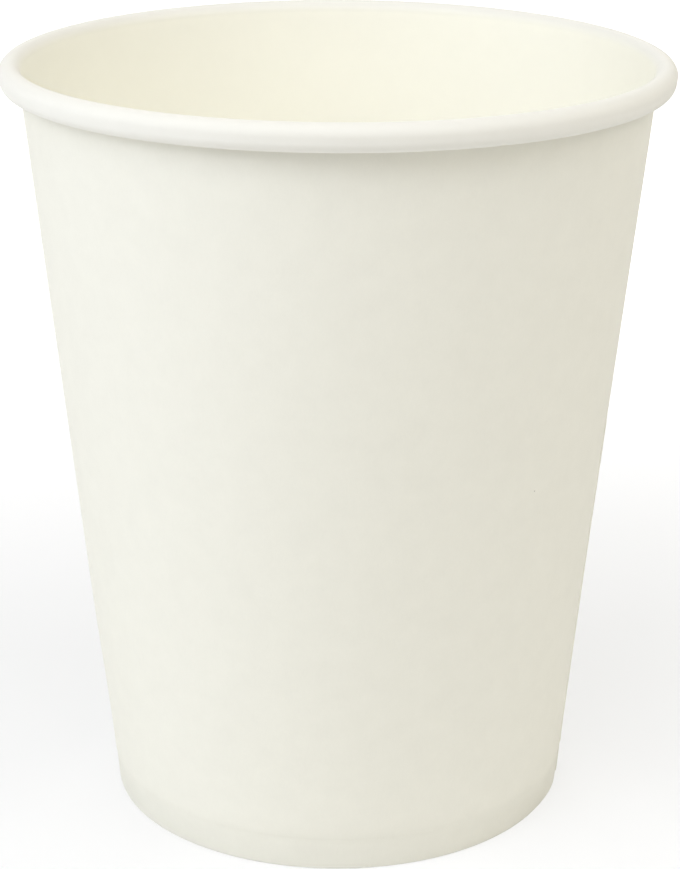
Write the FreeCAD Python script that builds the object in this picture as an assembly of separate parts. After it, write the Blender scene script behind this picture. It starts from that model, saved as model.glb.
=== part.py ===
import FreeCAD, Part
import math
import os

# A single-wall paper coffee cup, open at the top.
# One sheet of paperboard is wrapped into a cone and lapped over itself along a side seam.
# Its top edge is rolled outward into the rim, and its lower edge is folded inward and up.
# That hem holds the skirt of a separate round bottom disc against the wall.
# Sizes are in millimetres. The origin is the centre of the foot, on the table, and +Z is up.

# Driving dimensions: the whole cup
rim_diameter = 80.0
cup_height = 93.0
foot_diameter = 56.8

# The wall's board, and the lap where its two ends are sealed together
wall_board = 0.33
seam_lap = 6.5
lap_rise = 0.22
joggle_length = 1.2
rim_groove_width = 0.4
rim_groove_depth = 0.1
seam_azimuth = -4.0

# The rolled rim
curl_width = 2.6
curl_height = 3.2
curl_gap = 0.05
curl_overrun = 70.0

# The pressed foot and the hem inside it
band_height = 4.1
band_depth = 0.08
band_ramp = 0.3
foot_flat = 0.36
hem_below_disc = 1.5

# The bottom disc
disc_board = 0.30
disc_recess = 7.0
disc_bend = 0.35
skirt_above_fold = 0.5
seal_gap = 0.02

# How far the blocks that cut or trim reach past the board
cut_margin = 1.0

# The curl's centre, and the lean of the wall that runs into it as a tangent.
# The wall's outer face starts at the table, where the pressed foot would be if it were not pressed.
curl_radius = curl_width / 2
curl_flank = curl_height - curl_width
face_to_curl_centre = curl_radius - wall_board
face_start = foot_diameter / 2 + band_depth
curl_across = rim_diameter / 2 - curl_radius - face_start
curl_up = cup_height - curl_radius
lean = (math.acos(face_to_curl_centre / math.hypot(curl_across, curl_up))
        - math.atan2(curl_up, curl_across))
wall_length = curl_across * math.sin(lean) + curl_up * math.cos(lean)

# Past the underside the roll tightens, to pass inside itself, and its edge ends at this angle
roll_tightening = wall_board + curl_gap
roll_end = -180 - curl_overrun

# Depths of the layers at the foot, measured square to the wall's outer face
skirt_outer = wall_board + seal_gap
skirt_inner = skirt_outer + disc_board
hem_outer = skirt_inner + seal_gap
hem_inner = hem_outer + wall_board
hem_height = disc_recess - hem_below_disc
disc_top = disc_recess + disc_board

AXIS_POINT = FreeCAD.Vector(0, 0, 0)
AXIS = FreeCAD.Vector(0, 0, 1)


def cone_radius(depth, height):
    """Radius, at a height above the table, of the cone that lies this deep inside the wall's face."""
    return face_start - depth / math.cos(lean) + height * math.tan(lean)


def at_height(depth, height):
    """Point of the section on such a cone."""
    return FreeCAD.Vector(cone_radius(depth, height), 0, height)


def seam_point(across, out, along):
    """Point given by the seam: across it, out from the wall's face, and up along the wall."""
    return FreeCAD.Vector(
        face_start + out * math.cos(lean) + along * math.sin(lean),
        across,
        along * math.cos(lean) - out * math.sin(lean))


def rounded_path(corners):
    """Edges through the corners, each given with the radius that rounds it."""
    edges = []
    start = corners[0][0]
    for index in range(1, len(corners) - 1):
        corner, radius = corners[index]
        if radius == 0:
            edges.append(Part.LineSegment(start, corner).toShape())
            start = corner
            continue
        back = (corners[index - 1][0] - corner).normalize()
        ahead = (corners[index + 1][0] - corner).normalize()
        half_angle = back.getAngle(ahead) / 2
        inward = (back + ahead).normalize()
        tangent_length = radius / math.tan(half_angle)
        arc_start = corner + back * tangent_length
        arc_middle = corner + inward * (radius / math.sin(half_angle) - radius)
        arc_end = corner + ahead * tangent_length
        edges.append(Part.LineSegment(start, arc_start).toShape())
        edges.append(Part.Arc(arc_start, arc_middle, arc_end).toShape())
        start = arc_end
    edges.append(Part.LineSegment(start, corners[-1][0]).toShape())
    return edges


def closed_wire(edges):
    """One wire from edges given in any order."""
    return Part.Wire(Part.__sortEdges__(edges))


def turned(edges, angle=360):
    """Solid made by turning a closed section about the cup's axis."""
    return Part.Face(closed_wire(edges)).revolve(AXIS_POINT, AXIS, angle)


def polygon_block(points, reach):
    """Solid made by pushing a flat polygon along a vector."""
    outline = Part.makePolygon(points + [points[0]])
    return Part.Face(outline).extrude(reach)


def curl_point(centre_drop, radius, angle):
    """Point of the section on a circle whose centre lies this far below the curl's upper centre."""
    turn = math.radians(angle)
    return seam_point(
        0,
        face_to_curl_centre + radius * math.cos(turn),
        wall_length - centre_drop + radius * math.sin(turn))


def curl_arc(centre_drop, radius, start, end):
    """Arc of such a circle, from one angle to another. Angles run from straight out, upwards."""
    return Part.Arc(
        curl_point(centre_drop, radius, start),
        curl_point(centre_drop, radius, (start + end) / 2),
        curl_point(centre_drop, radius, end)).toShape()


def over_the_roll(radius):
    """The visible round of the roll, from the cup's inside over the top to the underside."""
    return [
        curl_arc(0, radius, 180, 0),
        Part.LineSegment(curl_point(0, radius, 0), curl_point(curl_flank, radius, 0)).toShape(),
        curl_arc(curl_flank, radius, 0, -90),
    ]


def curl_side(inset):
    """One face of the rolled board, this far inside the roll's outer face.

    It goes over the top, down the short straight flank, and round underneath. Then the roll
    tightens by one board, passes beside the wall and ends inside itself.
    """
    outer = curl_radius - inset
    inner_arc = curl_arc(curl_flank + roll_tightening, outer - roll_tightening, -90, roll_end)
    return over_the_roll(outer) + [inner_arc]


def foot_corner_radius(outer_foot, inner_foot):
    """Radius that rounds both corners of the fold and leaves the stated flat between them."""
    outer_share = math.tan((math.pi / 2 - lean) / 2)
    inner_share = math.tan((math.pi / 2 + lean) / 2)
    return (outer_foot - inner_foot - foot_flat) / (outer_share + inner_share)


def wrapped_sheet():
    """The sheet as a full turn: hem, fold, pressed foot, wall and rolled rim."""
    outer_foot = foot_diameter / 2
    inner_foot = cone_radius(hem_inner, 0)
    corner_radius = foot_corner_radius(outer_foot, inner_foot)
    hem_edge_inside = at_height(hem_inner, hem_height)
    hem_edge_outside = at_height(hem_outer, hem_height)
    outside = rounded_path([
        (hem_edge_inside, 0),
        (at_height(hem_inner, 0), corner_radius),
        (FreeCAD.Vector(outer_foot, 0, 0), corner_radius),
        (at_height(band_depth, band_height), 0),
        (at_height(0, band_height + band_ramp), 0),
        (seam_point(0, 0, wall_length), 0),
    ])
    inside = rounded_path([
        (seam_point(0, -wall_board, wall_length), 0),
        (at_height(wall_board, wall_board), 0),
        (at_height(hem_outer, wall_board), 0),
        (hem_edge_outside, 0),
    ])
    inner_centre_drop = curl_flank + roll_tightening
    inner_radius = curl_radius - roll_tightening
    rolled_edge = Part.LineSegment(
        curl_point(inner_centre_drop, inner_radius - wall_board, roll_end),
        curl_point(inner_centre_drop, inner_radius, roll_end)).toShape()
    hem_edge = Part.LineSegment(hem_edge_outside, hem_edge_inside).toShape()
    sheet = turned(
        outside + curl_side(wall_board) + [rolled_edge] + curl_side(0) + inside + [hem_edge])
    sheet.rotate(AXIS_POINT, AXIS, 180)
    return sheet


def joggle_slope(outward):
    """Slope of the sheet where it climbs onto its other end.

    It leaves the round wall at the joggle's length and is lap_rise off it at the edge.
    """
    mean_radius = (rim_diameter + foot_diameter) / 4
    curve_drop = mean_radius - math.sqrt(mean_radius ** 2 - joggle_length ** 2)
    return (lap_rise + outward * curve_drop) / joggle_length


def lap_block(face_depth, outward):
    """Block that trims the outer end at the lap.

    It starts with the joggle's slope, run on a little inside the sheet, and stops with a square cut.
    It keeps one width all along, as the ends of the flat sheet do, and is as deep as it is wide,
    so that the round wall stays in it.
    """
    level = -face_depth
    raised = level + outward * lap_rise
    above = level + outward * seam_lap
    below = level - outward * seam_lap
    slope_run = 2 * joggle_length
    outline = [
        (-slope_run, below),
        (-slope_run, raised - outward * slope_run * joggle_slope(outward)),
        (0, raised),
        (0, above),
        (seam_lap, above),
        (seam_lap, below),
    ]
    start = -seam_lap
    points = [seam_point(across, out, start) for across, out in outline]
    reach = seam_point(0, 0, wall_length + seam_lap) - seam_point(0, 0, start)
    return polygon_block(points, reach)


def kept_at_the_lap(strip, face_depth, outward):
    """The part that lies in the lap, of a strip turned half round the cup on the seam's side."""
    half_turn = turned(strip, 180)
    half_turn.rotate(AXIS_POINT, AXIS, -90)
    return half_turn.common(lap_block(face_depth, outward))


def outer_lap():
    """The sheet's outer end where it lies over the inner end, from the foot up into the roll."""
    foot_corner = lap_rise
    middle = wall_board / 2
    roll_level = wall_length - curl_flank - roll_tightening
    strip = rounded_path([
        (seam_point(0, -middle, roll_level), 0),
        (at_height(band_depth + middle, 0), 0),
        (at_height(band_depth - lap_rise, 0), foot_corner),
        (at_height(band_depth - lap_rise, band_height), 0),
        (at_height(-lap_rise, band_height + band_ramp), 0),
        (seam_point(0, lap_rise, roll_level), 0),
        (seam_point(0, -middle, roll_level), 0),
    ])
    return kept_at_the_lap(strip, 0, 1)


def hem_lap():
    """The same outer end where it is folded up inside, on the face of the hem."""
    foot_corner = lap_rise
    middle = hem_inner - wall_board / 2
    proud = hem_inner + lap_rise
    strip = rounded_path([
        (at_height(middle, hem_height), 0),
        (at_height(middle, 0), 0),
        (at_height(proud, 0), foot_corner),
        (at_height(proud, hem_height), 0),
        (at_height(middle, hem_height), 0),
    ])
    return kept_at_the_lap(strip, hem_inner, -1)


def inside_groove():
    """The shallow groove inside the cup, where the climbing sheet leaves the edge of the inner end."""
    clear = -wall_board - cut_margin
    outline = [
        (0, -wall_board + lap_rise),
        (0, clear),
        (-(lap_rise + cut_margin) / joggle_slope(1), clear),
    ]
    start = disc_top / math.cos(lean)
    points = [seam_point(across, out, start) for across, out in outline]
    reach = seam_point(0, 0, wall_length) - seam_point(0, 0, start)
    return polygon_block(points, reach)


def rim_groove():
    """The same groove where it crosses the rolled rim, pressed narrow and shallow there."""
    floor = curl_radius - rim_groove_depth
    clear = curl_radius + cut_margin
    ends = [
        Part.LineSegment(curl_point(0, floor, 180), curl_point(0, clear, 180)).toShape(),
        Part.LineSegment(curl_point(curl_flank, floor, -90), curl_point(curl_flank, clear, -90)).toShape(),
    ]
    angle = math.degrees(rim_groove_width / (rim_diameter / 2))
    groove = turned(over_the_roll(floor) + over_the_roll(clear) + ends, angle)
    groove.rotate(AXIS_POINT, AXIS, -angle)
    return groove


def make_sidewall():
    """The whole sheet: a full turn, with the lap added outside and the step of its inner end."""
    lapped = wrapped_sheet().fuse([outer_lap(), hem_lap()])
    sidewall = lapped.cut([inside_groove(), rim_groove()]).removeSplitter()
    sidewall.rotate(AXIS_POINT, AXIS, seam_azimuth)
    return sidewall.Solids[0]


def make_bottom_disc():
    """The punched disc with its edge turned down into a skirt that follows the wall."""
    skirt_foot = wall_board + skirt_above_fold
    centre_top = FreeCAD.Vector(0, 0, disc_top)
    centre_under = FreeCAD.Vector(0, 0, disc_recess)
    section = rounded_path([
        (centre_top, 0),
        (at_height(skirt_outer, disc_top), disc_bend + disc_board),
        (at_height(skirt_outer, skirt_foot), 0),
        (at_height(skirt_inner, skirt_foot), 0),
        (at_height(skirt_inner, disc_recess), disc_bend),
        (centre_under, 0),
        (centre_top, 0),
    ])
    return turned(section)


os.makedirs("parts", exist_ok=True)
make_sidewall().exportStep("parts/sidewall.step")
make_bottom_disc().exportStep("parts/bottom_disc.step")
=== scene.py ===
import math

import bmesh
import bpy
from mathutils import Matrix, Vector


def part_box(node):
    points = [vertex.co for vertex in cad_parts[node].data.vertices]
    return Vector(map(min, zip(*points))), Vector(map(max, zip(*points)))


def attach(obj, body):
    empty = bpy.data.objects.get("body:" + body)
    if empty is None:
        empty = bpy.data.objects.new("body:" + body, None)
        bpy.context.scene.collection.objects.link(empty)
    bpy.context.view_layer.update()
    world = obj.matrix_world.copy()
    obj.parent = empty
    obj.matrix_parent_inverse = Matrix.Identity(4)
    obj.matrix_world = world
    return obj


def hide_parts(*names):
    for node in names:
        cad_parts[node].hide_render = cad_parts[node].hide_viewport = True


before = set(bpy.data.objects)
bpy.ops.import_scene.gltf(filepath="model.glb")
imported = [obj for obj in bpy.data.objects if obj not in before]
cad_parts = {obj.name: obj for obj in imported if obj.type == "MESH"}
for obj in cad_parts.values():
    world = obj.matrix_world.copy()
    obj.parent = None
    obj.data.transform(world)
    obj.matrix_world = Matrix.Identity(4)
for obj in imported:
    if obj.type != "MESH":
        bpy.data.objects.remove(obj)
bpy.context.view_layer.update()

# The sidewall is one sheet of coated paperboard, wrapped into a cone. Its two ends are lapped and
# sealed with heat along the side seam, its top edge is rolled outward into the rim, and its lower
# edge is folded inward and up as the hem that grips the bottom disc.

MM = 0.001
rim_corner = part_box("sidewall")[1]
rim_radius = rim_corner.x
cup_height = rim_corner.z
foot_radius = 28.4 * MM
board = 0.33 * MM

curl_radius = 1.3 * MM
curl_flank = 0.6 * MM
roll_tightening = 0.38 * MM
roll_overrun = 70

band_height = 4.1 * MM
band_depth = 0.08 * MM
band_ramp = 0.3 * MM
band_fade = 1.2 * MM
foot_corner = 0.28 * MM
hem_height = 5.5 * MM
hem_straight_foot = 1.0 * MM
hem_outer_depth = 0.67 * MM
hem_inner_depth = hem_outer_depth + board

seam_azimuth = math.radians(-4)
seam_lap = 6.5 * MM
lap_rise = 0.22 * MM
joggle = 1.2 * MM
lap_fade = 5 * MM
rim_groove_width = 0.4 * MM
rim_groove_depth = 0.05 * MM

wall_rows = 36
hem_rows = 3
band_rows = 5
ramp_rows = 2
fold_steps = 4
roll_steps = 26
roll_end_steps = 10
turns_round = 240
weld_gap = 0.002 * MM
crease_angle = math.radians(35)

face_start = foot_radius + band_depth
face_to_curl = curl_radius - board
curl_across = rim_radius - curl_radius - face_start
curl_up = cup_height - curl_radius
lean = (math.acos(face_to_curl / math.hypot(curl_across, curl_up))
        - math.atan2(curl_up, curl_across))
wall_length = curl_across * math.sin(lean) + curl_up * math.cos(lean)
disc_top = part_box("bottom_disc")[1].z


def on_cone(depth, height):
    """Point of the section this deep inside the wall's outer face, at this height."""
    return Vector((face_start - depth / math.cos(lean) + height * math.tan(lean), 0, height))


def on_wall(out, along):
    """Point of the section this far out from the wall's face and this far up along it."""
    return Vector((
        face_start + out * math.cos(lean) + along * math.sin(lean),
        0,
        along * math.cos(lean) - out * math.sin(lean)))


def start_outline(name, point):
    """A new piece that is one vertex so far, selected in edit mode."""
    bpy.ops.object.select_all(action="DESELECT")
    bpy.ops.mesh.primitive_plane_add(size=MM, location=point)
    piece = bpy.context.object
    piece.name = name
    bpy.ops.object.transform_apply(location=True)
    bpy.ops.object.mode_set(mode="EDIT")
    bpy.ops.mesh.select_mode(type="VERT")
    bpy.ops.mesh.select_all(action="SELECT")
    bpy.ops.mesh.merge(type="CENTER")
    return piece


def outline_end():
    """Where the outline's selected end vertex lies."""
    mesh = bmesh.from_edit_mesh(bpy.context.edit_object.data)
    return [vertex.co.copy() for vertex in mesh.verts if vertex.select][0]


def draw_line(end, rows=1):
    """Extrudes the outline's end straight to a point, in equal rows."""
    row = (end - outline_end()) / rows
    for _ in range(rows):
        bpy.ops.mesh.extrude_region_move(TRANSFORM_OT_translate={"value": row})


def draw_arc(centre, degrees, steps):
    """Spins the outline's end about a point of the section. Positive turns go from out to up."""
    bpy.ops.mesh.spin(
        steps=steps, angle=math.radians(degrees), center=centre, axis=(0, 1, 0))


def draw_corner(corner, beyond, radius, steps):
    """A line from the outline's end towards a corner, rounded there towards the next point."""
    start = outline_end()
    back = (start - corner).normalized()
    ahead = (beyond - corner).normalized()
    half_angle = back.angle(ahead) / 2
    draw_line(corner + back * radius / math.tan(half_angle))
    centre = corner + (back + ahead).normalized() * radius / math.sin(half_angle)
    turn = 180 - math.degrees(2 * half_angle)
    side = back.cross(ahead).y
    draw_arc(centre, math.copysign(turn, side), steps)


def turn_round_the_axis(steps):
    """Spins the whole closed section about the cup's axis into a solid."""
    bpy.ops.mesh.select_all(action="SELECT")
    bpy.ops.mesh.remove_doubles(threshold=weld_gap)
    bpy.ops.mesh.spin(
        steps=steps, angle=math.tau, center=(0, 0, 0), axis=(0, 0, 1), use_auto_merge=True)
    bpy.ops.mesh.select_all(action="SELECT")
    bpy.ops.mesh.remove_doubles(threshold=weld_gap)
    bpy.ops.mesh.normals_make_consistent(inside=False)


hem_edge_inside = on_cone(hem_inner_depth, hem_height)
hem_edge_outside = on_cone(hem_outer_depth, hem_height)
fold_inside = on_cone(hem_inner_depth, 0)
fold_outside = Vector((foot_radius, 0, 0))
curl_centre = on_wall(face_to_curl, wall_length)
lower_centre = on_wall(face_to_curl, wall_length - curl_flank)
inner_centre = on_wall(face_to_curl, wall_length - curl_flank - roll_tightening)
down_the_flank = on_wall(0, 0) - on_wall(0, curl_flank)

sidewall = start_outline("cup_sidewall", hem_edge_inside)
draw_line(on_cone(hem_inner_depth, hem_straight_foot), hem_rows)
draw_corner(fold_inside, fold_outside, foot_corner, fold_steps)
draw_corner(fold_outside, on_cone(band_depth, band_height), foot_corner, fold_steps)
draw_line(on_cone(band_depth, band_height), band_rows)
draw_line(on_cone(0, band_height + band_ramp), ramp_rows)
draw_line(on_wall(0, wall_length), wall_rows)
draw_arc(curl_centre, -180, roll_steps)
draw_line(outline_end() + down_the_flank)
draw_arc(lower_centre, -90, roll_steps // 2)
draw_arc(inner_centre, -90 - roll_overrun, roll_end_steps)
outer_roll_end = outline_end()
draw_line(outer_roll_end + (outer_roll_end - inner_centre).normalized() * board)
draw_arc(inner_centre, 90 + roll_overrun, roll_end_steps)
draw_arc(lower_centre, 90, roll_steps // 2)
draw_line(outline_end() - down_the_flank)
draw_arc(curl_centre, 180, roll_steps)
draw_line(on_cone(board, disc_top), wall_rows)
draw_line(on_cone(board, board), hem_rows)
draw_line(on_cone(hem_outer_depth, board))
draw_line(hem_edge_outside, hem_rows)
draw_line(hem_edge_inside)
turn_round_the_axis(turns_round)

seam_out = Vector((math.cos(seam_azimuth), math.sin(seam_azimuth), 0))
seam_across = Vector((-math.sin(seam_azimuth), math.cos(seam_azimuth), 0))
close = 0.03 * MM
cut_gap = 0.001 * MM
under_the_roll = inner_centre.z
lap_margin = 2 * joggle
raised = seam_out * lap_rise
outward_at_least = 0.03


def outside_the_wall(point):
    """How far a point lies out from the wall's outer face, and how far up along it."""
    radius = math.hypot(point.x, point.y) - face_start
    out = radius * math.cos(lean) - point.z * math.sin(lean)
    along = radius * math.sin(lean) + point.z * math.cos(lean)
    return out, along


def at_the_seam(point, start, end):
    """Whether a point lies between two distances across the seam's line, on the seam's side."""
    across = point.dot(seam_across)
    return start < across < end and point.dot(seam_out) > 0


def on_outer_face(face, middle):
    """The wall's outer face and the round of the foot, up to where they pass behind the roll."""
    out, _ = outside_the_wall(middle)
    return (-board - close < out < close
            and middle.z < under_the_roll and face.normal.dot(seam_out) > outward_at_least)


def on_inner_face(face, middle):
    """The face that shows inside the cup, from the disc up to the roll."""
    out, along = outside_the_wall(middle)
    return (abs(out + board) < close and face.normal.dot(seam_out) < 0
            and middle.z > disc_top and along < wall_length)


def on_hem(face, middle):
    """The hem's face, which shows from below, and the round of the foot that leads to it."""
    out, _ = outside_the_wall(middle)
    return (-hem_inner_depth - close < out < -hem_outer_depth - close
            and middle.z < hem_height and face.normal.dot(seam_out) < -outward_at_least)


def on_roll(face, middle):
    """The round of the roll that shows, from inside the cup over the top to the underside."""
    out, along = outside_the_wall(middle)
    up_the_flank = min(max(along, wall_length - curl_flank), wall_length)
    from_centre = math.hypot(out - face_to_curl, along - up_the_flank)
    behind = along < wall_length - curl_flank and out < face_to_curl
    return from_centre > curl_radius - close and not behind and along > wall_length - 2 * curl_radius


def pick_faces(belongs, start, end):
    """Selects the faces of one kind that lie at the seam, between two distances across it."""
    bpy.ops.mesh.select_mode(type="FACE")
    bpy.ops.mesh.select_all(action="DESELECT")
    mesh = bmesh.from_edit_mesh(bpy.context.edit_object.data)
    for face in mesh.faces:
        middle = face.calc_center_median()
        face.select_set(at_the_seam(middle, start, end) and belongs(face, middle))
    bmesh.update_edit_mesh(bpy.context.edit_object.data)


def cut_along_the_seam(belongs, *distances):
    """Cuts a straight edge into faces of one kind, at each distance from the seam's line."""
    for distance in distances:
        pick_faces(belongs, distance - lap_margin, distance + lap_margin)
        bpy.ops.mesh.bisect(
            plane_co=seam_across * distance, plane_no=seam_across, threshold=cut_gap)


def press_back(distance, shift):
    """Lays raised points back onto the sheet: one row all along, and the rest towards the roll."""
    mesh = bmesh.from_edit_mesh(bpy.context.edit_object.data)
    for vertex in mesh.verts:
        if vertex.select:
            on_the_row = abs(vertex.co.dot(seam_across) - distance) < close
            _, along = outside_the_wall(vertex.co)
            near_the_roll = min(max(1 - (wall_length - along) / lap_fade, 0), 1)
            vertex.co -= shift * (1 if on_the_row else near_the_roll)
    bmesh.update_edit_mesh(bpy.context.edit_object.data)
    bpy.ops.mesh.select_all(action="SELECT")
    bpy.ops.mesh.remove_doubles(threshold=weld_gap)


def step_faces(belongs, start, end, shift):
    """Lifts the faces between two lines off the sheet as a step that slopes back to its first line."""
    cut_along_the_seam(belongs, start, end)
    pick_faces(belongs, start, end)
    bpy.ops.mesh.extrude_region_move(TRANSFORM_OT_translate={"value": shift})
    press_back(start, shift)


def dip_rows(belongs, width, depth):
    """Presses a soft dip into faces of one kind, this wide up to the seam's line and this deep."""
    cut_along_the_seam(belongs, -width, -width / 2, 0)
    bpy.ops.mesh.select_mode(type="VERT")
    bpy.ops.mesh.select_all(action="DESELECT")
    mesh = bmesh.from_edit_mesh(bpy.context.edit_object.data)
    for vertex in mesh.verts:
        in_the_middle = at_the_seam(vertex.co, -width / 2 - close, -width / 2 + close)
        vertex.select_set(in_the_middle and belongs(vertex, vertex.co))
    bmesh.update_edit_mesh(bpy.context.edit_object.data)
    bpy.ops.transform.shrink_fatten(value=-depth)


step_faces(on_inner_face, -joggle, 0, raised)
step_faces(on_outer_face, -joggle, seam_lap, raised)
step_faces(on_hem, -joggle, seam_lap, -raised)
dip_rows(on_roll, rim_groove_width, rim_groove_depth)
bpy.ops.mesh.select_all(action="SELECT")
bpy.ops.mesh.normals_make_consistent(inside=False)
bpy.ops.object.mode_set(mode="OBJECT")
bpy.ops.object.shade_smooth_by_angle(angle=crease_angle)

# Cloudy formation and fine fibres mottle the board, and the fibres are drawn out up the wall.
clouds_per_mm = 0.35
fibres_per_mm = 3.2
grain_stretch = 0.35
texture_middle = 0.5
roughness_per_tone = 2.0


def add_node(tree, kind, inputs=None, **settings):
    """A node with its settings, and each named input set to a value or linked from an output."""
    made = tree.nodes.new(kind)
    for name, value in settings.items():
        setattr(made, name, value)
    for name, value in (inputs or {}).items():
        if isinstance(value, bpy.types.NodeSocket):
            tree.links.new(value, made.inputs[name])
        else:
            made.inputs[name].default_value = value
    return made


def make_paperboard():
    """The look that every face of the board shares: cloudy formation, fine fibres and a faint relief."""
    group = bpy.data.node_groups.new("paperboard", "ShaderNodeTree")
    for name, kind in (("Board Color", "NodeSocketColor"), ("Cloud", "NodeSocketFloat"),
                       ("Fibre", "NodeSocketFloat"), ("Base Roughness", "NodeSocketFloat")):
        group.interface.new_socket(name, in_out="INPUT", socket_type=kind)
    for name, kind in (("Color", "NodeSocketColor"), ("Roughness", "NodeSocketFloat"),
                       ("Height", "NodeSocketFloat")):
        group.interface.new_socket(name, in_out="OUTPUT", socket_type=kind)
    given = group.nodes.new("NodeGroupInput").outputs
    place = add_node(group, "ShaderNodeTexCoord").outputs["Object"]
    clouds = add_node(group, "ShaderNodeTexNoise", {
        "Vector": place, "Scale": clouds_per_mm / MM, "Detail": 3.0, "Roughness": 0.55}).outputs["Fac"]
    along_the_grain = add_node(group, "ShaderNodeMapping", {
        "Vector": place, "Scale": (1, 1, grain_stretch)}).outputs["Vector"]
    fibres = add_node(group, "ShaderNodeTexNoise", {
        "Vector": along_the_grain, "Scale": fibres_per_mm / MM, "Detail": 4.0, "Roughness": 0.6,
        "Distortion": 1.6}).outputs["Fac"]

    def swing(source, strength):
        """A texture's swing about its middle, times a strength."""
        centred = add_node(group, "ShaderNodeMath", {0: source, 1: texture_middle}, operation="SUBTRACT")
        scaled = add_node(group, "ShaderNodeMath", {
            0: centred.outputs[0], 1: strength}, operation="MULTIPLY")
        return scaled.outputs[0]

    cloud_swing = swing(clouds, given["Cloud"])
    fibre_swing = swing(fibres, given["Fibre"])
    unevenness = add_node(group, "ShaderNodeMath", {
        0: cloud_swing, 1: fibre_swing}, operation="ADD").outputs[0]
    value = add_node(group, "ShaderNodeMath", {0: unevenness, 1: 1.0}, operation="ADD").outputs[0]
    color = add_node(group, "ShaderNodeHueSaturation", {
        "Value": value, "Color": given["Board Color"]}).outputs["Color"]
    roughness_swing = add_node(group, "ShaderNodeMath", {
        0: unevenness, 1: roughness_per_tone}, operation="MULTIPLY").outputs[0]
    roughness = add_node(group, "ShaderNodeMath", {
        0: given["Base Roughness"], 1: roughness_swing}, operation="SUBTRACT").outputs[0]
    out = group.nodes.new("NodeGroupOutput")
    group.links.new(color, out.inputs["Color"])
    group.links.new(roughness, out.inputs["Roughness"])
    group.links.new(fibres, out.inputs["Height"])
    return group


paperboard = make_paperboard()


def make_board_finish(name, color, cloud, fibre, roughness, relief, specular):
    """A finish of the board, with its own colour, unevenness, gloss and depth of relief."""
    material = bpy.data.materials.new(name)
    material.use_nodes = True
    tree = material.node_tree
    shader = tree.nodes["Principled BSDF"]
    face = add_node(tree, "ShaderNodeGroup", node_tree=paperboard)
    face.name = "board face"
    face.inputs["Board Color"].default_value = (*color, 1)
    face.inputs["Cloud"].default_value = cloud
    face.inputs["Fibre"].default_value = fibre
    face.inputs["Base Roughness"].default_value = roughness
    bump = add_node(tree, "ShaderNodeBump", {
        "Height": face.outputs["Height"], "Distance": relief, "Strength": 1.0})
    tree.links.new(face.outputs["Color"], shader.inputs["Base Color"])
    tree.links.new(face.outputs["Roughness"], shader.inputs["Roughness"])
    tree.links.new(bump.outputs["Normal"], shader.inputs["Normal"])
    shader.inputs["Specular IOR Level"].default_value = specular
    return material


def mix_into_the_board(tree, share, color):
    """Mixes one more colour into a finish, as far as a mask says."""
    board_color = tree.nodes["board face"].inputs["Board Color"]
    before = board_color.links[0].from_socket if board_color.is_linked else board_color.default_value
    mixed = add_node(tree, "ShaderNodeMixRGB", {
        "Fac": share, "Color1": before, "Color2": (*color, 1)})
    tree.links.new(mixed.outputs["Color"], board_color)


painted_glow_fade_low = curl_centre.z - curl_radius / 4
painted_glow_fade_high = curl_centre.z + curl_radius * 3 / 4


def keep_painted_glow_off_the_roll(material, roll_color, roll_roughness):
    """Keeps the painted glow off the roll: there the coated face takes a plainer, less creamy tone close
    to the bare board's, and turns duller.
    """
    tree = material.node_tree
    place = add_node(tree, "ShaderNodeTexCoord").outputs["Object"]
    across_up = add_node(tree, "ShaderNodeSeparateXYZ", {"Vector": place}).outputs
    level = add_node(tree, "ShaderNodeCombineXYZ", {"X": across_up["X"], "Y": across_up["Y"]})
    radius = add_node(tree, "ShaderNodeVectorMath", {0: level.outputs[0]}, operation="LENGTH")
    outside = add_node(tree, "ShaderNodeMath", {
        0: radius.outputs["Value"], 1: rim_radius - curl_radius}, operation="GREATER_THAN")
    up_the_roll = add_node(tree, "ShaderNodeMapRange", {
        "Value": across_up["Z"], "From Min": painted_glow_fade_low, "From Max": painted_glow_fade_high},
        interpolation_type="SMOOTHSTEP")
    share = add_node(tree, "ShaderNodeMath", {
        0: outside.outputs[0], 1: up_the_roll.outputs["Result"]}, operation="MAXIMUM").outputs[0]
    mix_into_the_board(tree, share, roll_color)
    base_roughness = tree.nodes["board face"].inputs["Base Roughness"]
    duller = add_node(tree, "ShaderNodeMapRange", {
        "Value": share, "To Min": base_roughness.default_value, "To Max": roll_roughness})
    tree.links.new(duller.outputs["Result"], base_roughness)


def add_speck(material, centre, radius, color):
    """A dark fibre speck in the bare face, with a soft edge."""
    tree = material.node_tree
    place = add_node(tree, "ShaderNodeTexCoord").outputs["Object"]
    away = add_node(tree, "ShaderNodeVectorMath", {0: place, 1: centre}, operation="DISTANCE")
    share = add_node(tree, "ShaderNodeMapRange", {
        "Value": away.outputs["Value"], "From Min": radius, "From Max": radius / 2},
        interpolation_type="SMOOTHSTEP")
    mix_into_the_board(tree, share.outputs["Result"], color)


painted_shade_at_the_line = 0.6
painted_shade_down_the_band = 0.4


def paint_shade_on_the_foot(material, color):
    """Paints shade onto the band at the foot, where three layers of board let no light through: greyer
    from its top line down to the ground.
    """
    tree = material.node_tree
    place = add_node(tree, "ShaderNodeTexCoord").outputs["Object"]
    height = add_node(tree, "ShaderNodeSeparateXYZ", {"Vector": place}).outputs["Z"]
    on_the_band = add_node(tree, "ShaderNodeMapRange", {
        "Value": height, "From Min": band_height + band_fade, "From Max": band_height - band_fade,
        "To Max": painted_shade_at_the_line}, interpolation_type="SMOOTHSTEP")
    down_the_band = add_node(tree, "ShaderNodeMapRange", {
        "Value": height, "From Min": band_height, "From Max": 0, "To Max": painted_shade_down_the_band})
    share = add_node(tree, "ShaderNodeMath", {
        0: on_the_band.outputs["Result"], 1: down_the_band.outputs["Result"]}, operation="ADD")
    mix_into_the_board(tree, share.outputs[0], color)


def round_the_cup(azimuth, point):
    """A point of the section, turned about the axis from +X."""
    return Matrix.Rotation(math.radians(azimuth), 3, "Z") @ point


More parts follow.
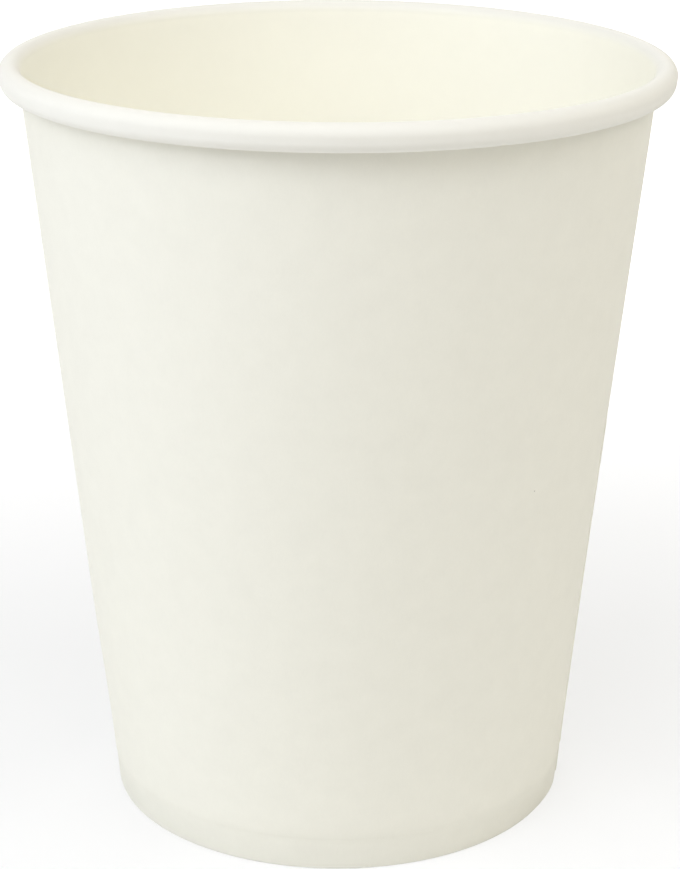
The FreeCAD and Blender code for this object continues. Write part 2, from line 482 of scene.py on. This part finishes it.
bare_face = make_board_finish(
    "bare_board_outside", color=(0.825, 0.81, 0.727), cloud=0.05, fibre=0.04, roughness=0.72,
    relief=0.006 * MM, specular=0.3)
# The coated face is brighter than the bare one: partly the coating's own tone, partly painted glow that
# stands in for light shining through the wall and bouncing about inside the cup.
coated_face = make_board_finish(
    "coated_board_inside", color=(0.95, 0.935, 0.843), cloud=0.025, fibre=0.015, roughness=0.5,
    relief=0.002 * MM, specular=0.3)
cut_edge = make_board_finish(
    "cut_board_edge", color=(0.825, 0.81, 0.74), cloud=0.05, fibre=0.12, roughness=0.85,
    relief=0.01 * MM, specular=0.2)
# Painted shade greys the band at the foot.
paint_shade_on_the_foot(bare_face, color=(0.76, 0.747, 0.668))
speck_azimuth = -46.7
speck_height = 46.9 * MM
speck = round_the_cup(speck_azimuth, on_cone(0, speck_height))
add_speck(bare_face, centre=speck, radius=0.2 * MM, color=(0.3, 0.28, 0.24))
# Over the roll the coated face loses its painted glow and takes a plainer, duller tone.
keep_painted_glow_off_the_roll(coated_face, roll_color=(0.82, 0.805, 0.747), roll_roughness=0.75)

finishes = (bare_face, coated_face, cut_edge)
for finish in finishes:
    sidewall.data.materials.append(finish)
above_the_fold = 1.5 * board
square_at_least = 0.9


def finish_faces(finish, belongs):
    """Gives one of the piece's finishes to the faces of one kind."""
    bpy.ops.mesh.select_mode(type="FACE")
    bpy.ops.mesh.select_all(action="DESELECT")
    mesh = bmesh.from_edit_mesh(bpy.context.edit_object.data)
    for face in mesh.faces:
        face.select_set(belongs(face, face.calc_center_median()))
    bmesh.update_edit_mesh(bpy.context.edit_object.data)
    bpy.context.object.active_material_index = finishes.index(finish)
    bpy.ops.object.material_slot_assign()


def coated(face, middle):
    """The board's inner face: inside the cup, and over the roll, where it comes to the outside."""
    out, along = outside_the_wall(middle)
    inside_the_cup = -hem_outer_depth - close < out < -board / 2 and middle.z > above_the_fold
    return inside_the_cup or on_roll(face, middle) or (along > wall_length and out < close)


def cut(face, middle):
    """The square-cut ends of the sheet where they show at the lap, and the hem's upper edge."""
    out, _ = outside_the_wall(middle)
    faces_across = abs(face.normal.dot(seam_across)) > square_at_least and middle.dot(seam_out) > 0
    at_a_lap_end = faces_across and abs(middle.dot(seam_across)) < seam_lap + close
    on_hem_edge = abs(middle.z - hem_height) < close and out < -hem_outer_depth
    return at_a_lap_end or on_hem_edge


bpy.ops.object.mode_set(mode="EDIT")
finish_faces(coated_face, coated)
finish_faces(cut_edge, cut)

# A small dent shows in the lower edge of the roll. The roll gets finer faces there.
dent_azimuth = -63.6
dent_inside_the_rim = 0.87 * MM
dent_below_the_roll = 1.22 * MM
dent_reach = 0.7 * MM
dent_depth = 0.2 * MM
dent_cuts = 3
dent = round_the_cup(dent_azimuth, Vector((
    rim_radius - dent_inside_the_rim, 0, lower_centre.z - dent_below_the_roll)))
bpy.ops.mesh.select_mode(type="FACE")
bpy.ops.mesh.select_all(action="DESELECT")
mesh = bmesh.from_edit_mesh(sidewall.data)
for face in mesh.faces:
    face.select_set((face.calc_center_median() - dent).length < 2 * dent_reach)
bmesh.update_edit_mesh(sidewall.data)
bpy.ops.mesh.subdivide(number_cuts=dent_cuts)
bpy.ops.object.mode_set(mode="OBJECT")


def push(piece, near, reach, shift):
    """Moves a place of the sheet by a shift, and what lies around it by ever less."""
    for vertex in piece.data.vertices:
        share = max(1 - (vertex.co - near).length / reach, 0)
        vertex.co += shift * share * share * (3 - 2 * share)


# Light handling has left the cup a little out of round: both ends of the rim have sunk a trace,
# the wall has drawn in at the right and, low down, at the left, and the foot stands out at the right.
# Each row gives the place that moved, how far around it the sheet went along, and the shift.
rim_right_end = Vector((rim_radius, 0, cup_height - curl_radius))
rim_left_end = Vector((-rim_radius, 0, cup_height - curl_radius))
wall_right_side = round_the_cup(-8.5, on_cone(0, 38 * MM))
wall_low_left_side = round_the_cup(188.5, on_cone(0, 8 * MM))
foot_right_side = round_the_cup(-14, on_cone(0, 0.5 * MM))
handling = (
    (rim_right_end, 60 * MM, Vector((-0.2, 0, -0.27)) * MM),
    (rim_left_end, 60 * MM, Vector((0, 0, -0.23)) * MM),
    (wall_right_side, 60 * MM, Vector((-0.29, 0, 0)) * MM),
    (foot_right_side, 8 * MM, Vector((0.2, 0, 0)) * MM),
    (wall_low_left_side, 18 * MM, Vector((0.22, 0, 0)) * MM))
for near, reach, shift in handling:
    push(sidewall, near, reach, shift)
push(sidewall, dent, dent_reach, Vector((0, 0, dent_depth)))

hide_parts("sidewall")
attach(sidewall, "root")

# The bottom is a disc of thinner coated board, punched out and pressed into a shallow tray.
# Its skirt stands down between the wall and the hem, and the hot-melted coating seals it there.

disc_board = 0.30 * MM
disc_bend = 0.35 * MM
seal_gap = 0.02 * MM
skirt_above_the_fold = 0.5 * MM
skirt_foot = board + skirt_above_the_fold
disc_under = disc_top - disc_board
skirt_outer_depth = board + seal_gap
skirt_inner_depth = skirt_outer_depth + disc_board
disc_flat_radius = 24 * MM
disc_rows = 14
skirt_rows = 3
bend_steps = 6

disc = start_outline("cup_bottom_disc", Vector((0, 0, disc_top)))
draw_line(Vector((disc_flat_radius, 0, disc_top)), disc_rows)
draw_corner(
    on_cone(skirt_outer_depth, disc_top), on_cone(skirt_outer_depth, skirt_foot),
    disc_bend + disc_board, bend_steps)
draw_line(on_cone(skirt_outer_depth, skirt_foot), skirt_rows)
draw_line(on_cone(skirt_inner_depth, skirt_foot))
draw_corner(
    on_cone(skirt_inner_depth, disc_under), Vector((0, 0, disc_under)), disc_bend, bend_steps)
draw_line(Vector((disc_flat_radius, 0, disc_under)))
draw_line(Vector((0, 0, disc_under)), disc_rows)
turn_round_the_axis(turns_round)
bpy.ops.object.mode_set(mode="OBJECT")
bpy.ops.object.shade_smooth_by_angle(angle=crease_angle)
for finish in finishes:
    disc.data.materials.append(finish)
sideways_at_least = 0.2


def on_disc_top(face, middle):
    """The coated face of the disc, which is the floor of the cup, and its turned-down side."""
    away_from_the_axis = Vector((middle.x, middle.y, 0)).normalized()
    return middle.z > disc_top - close or face.normal.dot(away_from_the_axis) > sideways_at_least


def on_skirt_edge(face, middle):
    """The cut edge at the foot of the skirt."""
    return face.normal.z < -square_at_least and middle.z < skirt_foot + close


bpy.ops.object.mode_set(mode="EDIT")
finish_faces(coated_face, on_disc_top)
finish_faces(cut_edge, on_skirt_edge)
bpy.ops.object.mode_set(mode="OBJECT")
for near, reach, shift in handling:
    push(disc, near, reach, shift)
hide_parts("bottom_disc")
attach(disc, "root")

# The floor is a wide white sheet under the cup. Seen directly it is toned down to where the cup's
# faint shadow shows on it, and it glows a little, more so far from the cup, where less light falls.

floor_width = 3.0
floor_drop = 0.01 * MM
floor_roughness = 0.9
floor_lit = 0.92
floor_seen = 0.3
glow_near = 0.62
glow_far = 0.9
glow_reach = 300 * MM
bpy.ops.object.select_all(action="DESELECT")
bpy.ops.mesh.primitive_plane_add(size=floor_width, location=(0, 0, -floor_drop))
floor = bpy.context.object
floor.name = "floor_sheet"


def seen_directly(tree):
    """Whether a ray comes from the camera, or through gloss or glass, and not as lamp light."""
    path = add_node(tree, "ShaderNodeLightPath")
    by_eye_or_gloss = add_node(tree, "ShaderNodeMath", {
        0: path.outputs["Is Camera Ray"], 1: path.outputs["Is Glossy Ray"]}, operation="MAXIMUM")
    in_any_way = add_node(tree, "ShaderNodeMath", {
        0: by_eye_or_gloss.outputs[0], 1: path.outputs["Is Transmission Ray"]}, operation="MAXIMUM")
    return in_any_way.outputs[0]


floor_paper = bpy.data.materials.new("floor_paper")
floor_paper.use_nodes = True
tree = floor_paper.node_tree
seen = seen_directly(tree)
tone = add_node(tree, "ShaderNodeMapRange", {
    "Value": seen, "To Min": floor_lit, "To Max": floor_seen}).outputs["Result"]
place = add_node(tree, "ShaderNodeTexCoord").outputs["Object"]
from_the_cup = add_node(tree, "ShaderNodeVectorMath", {0: place}, operation="LENGTH")
glow = add_node(tree, "ShaderNodeMapRange", {
    "Value": from_the_cup.outputs["Value"], "From Min": foot_radius, "From Max": glow_reach,
    "To Min": glow_near, "To Max": glow_far}, interpolation_type="SMOOTHSTEP").outputs["Result"]
lift = add_node(tree, "ShaderNodeMath", {0: seen, 1: glow}, operation="MULTIPLY")
emission = add_node(tree, "ShaderNodeEmission", {"Strength": lift.outputs[0]})
shader = tree.nodes["Principled BSDF"]
tree.links.new(tone, shader.inputs["Base Color"])
shader.inputs["Roughness"].default_value = floor_roughness
sheet = add_node(tree, "ShaderNodeAddShader", {0: shader.outputs[0], 1: emission.outputs[0]})
tree.links.new(sheet.outputs[0], tree.nodes["Material Output"].inputs["Surface"])
floor.data.materials.append(floor_paper)

# The studio is white all round, and ten large soft boxes light the cup: cool ones on the left, with
# the key among them, a plain fill high on the right, and weaker ones, partly warm, at the front
# right and behind, which light the inside through the mouth.

world = bpy.data.worlds.new("pale_studio")
bpy.context.scene.world = world
world.use_nodes = True
tree = world.node_tree
tree.links.new(seen_directly(tree), tree.nodes["Background"].inputs["Strength"])
tree.nodes["Background"].inputs["Color"].default_value = (1, 1, 1, 1)

cup_middle = Vector((0, 0, cup_height / 2))
box_distance = 0.7
box_width = 0.4
cool = (0.92, 0.95, 1.0)
warm = (1.0, 0.93, 0.75)


def add_softbox(name, azimuth, elevation, power, tint=(1, 1, 1)):
    """A square soft box that faces the cup's middle. Azimuth runs from +X towards +Y."""
    turn = math.radians(azimuth)
    rise = math.radians(elevation)
    toward = Vector((math.cos(rise) * math.cos(turn), math.cos(rise) * math.sin(turn), math.sin(rise)))
    lamp = bpy.data.lights.new(name, "AREA")
    lamp.energy = power
    lamp.color = tint
    lamp.size = box_width
    box = bpy.data.objects.new(name, lamp)
    bpy.context.scene.collection.objects.link(box)
    box.location = cup_middle + toward * box_distance
    box.rotation_euler = toward.to_track_quat("Z", "Y").to_euler()


add_softbox("low_left_box", azimuth=-170, elevation=15, power=1.1, tint=cool)
add_softbox("key_box", azimuth=-150, elevation=35, power=1.55, tint=cool)
add_softbox("front_left_box", azimuth=-120, elevation=45, power=1.3, tint=cool)
add_softbox("high_front_box", azimuth=-90, elevation=65, power=1.22)
add_softbox("front_right_box", azimuth=-55, elevation=30, power=0.72, tint=warm)
add_softbox("low_right_box", azimuth=-20, elevation=15, power=0.22)
add_softbox("fill_box", azimuth=-20, elevation=45, power=1.38)
add_softbox("back_right_box", azimuth=30, elevation=35, power=0.7, tint=warm)
add_softbox("back_box", azimuth=90, elevation=30, power=0.93)
add_softbox("back_left_box", azimuth=150, elevation=35, power=0.42, tint=warm)

# The camera stands 0.3 m from the cup's middle, in front of it, and looks down at it from about
# 20 degrees. It is aimed a trace to the right of the axis, and rolled by a fifth of a degree.

view_distance = 299.28 * MM
view_elevation = math.radians(19.504)
view_roll = math.radians(0.2115)
aim_height = 45.229 * MM
aim_aside = 0.287 * MM
focal_pixels = 2398.6
picture_height = 869
sensor_width = 36.0

eye = Vector((
    0,
    -view_distance * math.cos(view_elevation),
    aim_height + view_distance * math.sin(view_elevation)))
ahead = (Vector((aim_aside, 0, aim_height)) - eye).normalized()
level_right = ahead.cross(Vector((0, 0, 1))).normalized()
level_up = level_right.cross(ahead)
right = math.cos(view_roll) * level_right + math.sin(view_roll) * level_up
up = right.cross(ahead)
lens = bpy.data.cameras.new("photo_camera")
lens.sensor_width = sensor_width
lens.lens = focal_pixels / picture_height * sensor_width
lens.clip_start = MM
camera = bpy.data.objects.new("photo_camera", lens)
bpy.context.scene.collection.objects.link(camera)
camera.matrix_world = Matrix.Translation(eye) @ Matrix((right, up, -ahead)).transposed().to_4x4()
bpy.context.scene.camera = camera
bpy.context.scene.view_settings.view_transform = "Standard"
